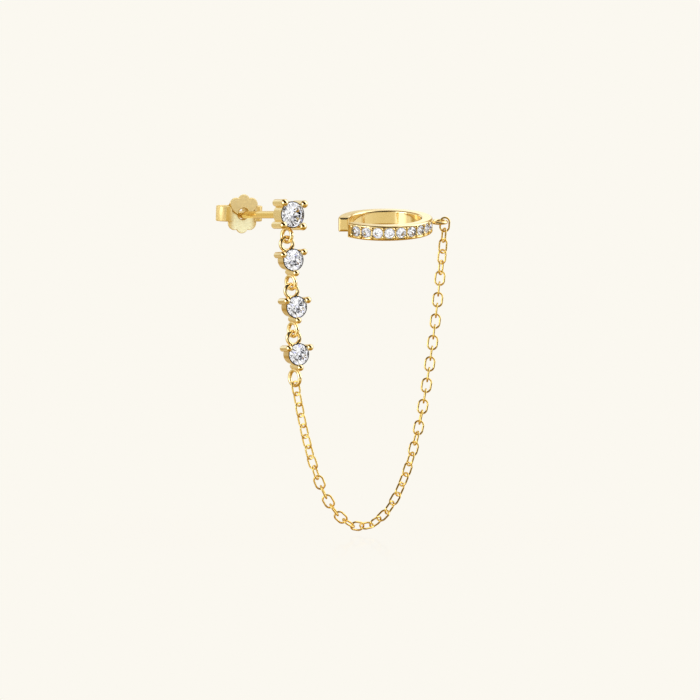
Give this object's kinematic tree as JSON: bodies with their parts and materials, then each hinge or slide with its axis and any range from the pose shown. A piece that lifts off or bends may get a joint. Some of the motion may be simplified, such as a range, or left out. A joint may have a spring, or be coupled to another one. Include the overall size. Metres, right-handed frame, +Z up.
{
  "type": "ear chain earring with an ear cuff",
  "caption": "Stud earring with a push-on ear nut, a cascade of prong-set stones and a hanging cable chain that ends in an open ear cuff set with a row of small stones.",
  "frame": {"origin": "on the axis of the ear post, at the back plane of the stud's head, where the front of the ear lobe rests", "axes": "+Y along the ear post from the head to its tip, +Z up, +X from the stud towards the ear cuff"},
  "size_m": [0.026, 0.0161, 0.0408],
  "materials": {
    "gold": "polished pale yellow gold plate",
    "stone": "clear brilliant-cut zirconia"
  },
  "bodies": {
    "earring": {"stud_setting": "gold", "stud_stone": "stone", "drop_setting_1": "gold", "drop_setting_2": "gold", "drop_setting_3": "gold", "drop_stone_1": "stone", "drop_stone_2": "stone", "drop_stone_3": "stone", "cable_chain": "gold", "ear_cuff": "gold", "cuff_stone_1": "stone", "cuff_stone_2": "stone", "cuff_stone_3": "stone", "cuff_stone_4": "stone", "cuff_stone_5": "stone", "cuff_stone_6": "stone", "cuff_stone_7": "stone", "cuff_stone_8": "stone", "cuff_stone_9": "stone"},
    "ear_nut": {"ear_nut": "gold"}
  },
  "joints": [
    {"name": "ear_nut_slide", "type": "slide", "parent": "earring", "child": "ear_nut", "axis": [0, 1, 0], "range_m": [-0.0093, 0.0018]}
  ]
}
